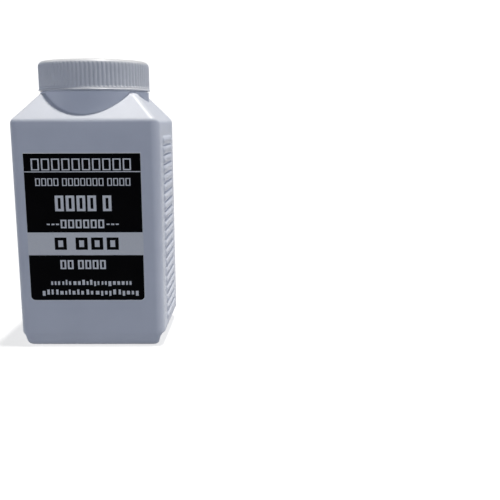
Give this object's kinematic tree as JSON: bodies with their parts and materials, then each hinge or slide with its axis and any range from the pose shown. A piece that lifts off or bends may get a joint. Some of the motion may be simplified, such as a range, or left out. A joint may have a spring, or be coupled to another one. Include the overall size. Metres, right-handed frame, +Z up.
{
  "type": "tumbling grit jar",
  "caption": "Rectangular wide-mouth plastic jar of dark tumbling grit with a ribbed screw cap, a front label and ribbed grip sides.",
  "frame": {"origin": "centre of the base, on the surface that the jar stands on", "axes": "+Z up through the neck, front face towards -Y, grip sides at +X and -X"},
  "size_m": [0.0974, 0.0781, 0.1867],
  "materials": {
    "jar_plastic": "blow-moulded white polyethylene, satin",
    "cap_plastic": "injection-moulded white polypropylene, satin",
    "liner_foam": "closed-cell foam sheet, matt",
    "label_film": "black printed film, semi-gloss",
    "grit": "angular dark silicon carbide grains with bright facets"
  },
  "bodies": {
    "jar": {"jar_body": "jar_plastic", "front_label": "label_film", "grit_fill": "grit"},
    "liner": {"cap_liner": "liner_foam"},
    "cap": {"screw_cap": "cap_plastic"}
  },
  "joints": [
    {"name": "cap_lift", "type": "slide", "parent": "jar", "child": "liner", "axis": [0, 0, 1], "range_m": [0, 0.028]},
    {"name": "cap_turn", "type": "hinge", "parent": "liner", "child": "cap", "pos_m": [0, 0, 0.176], "axis": [0, 0, 1], "range_deg": [0, 1440]}
  ],
  "couplings": [
    {"joint": "cap_lift", "follows": "cap_turn", "m_per_rad": 0.0011141}
  ]
}
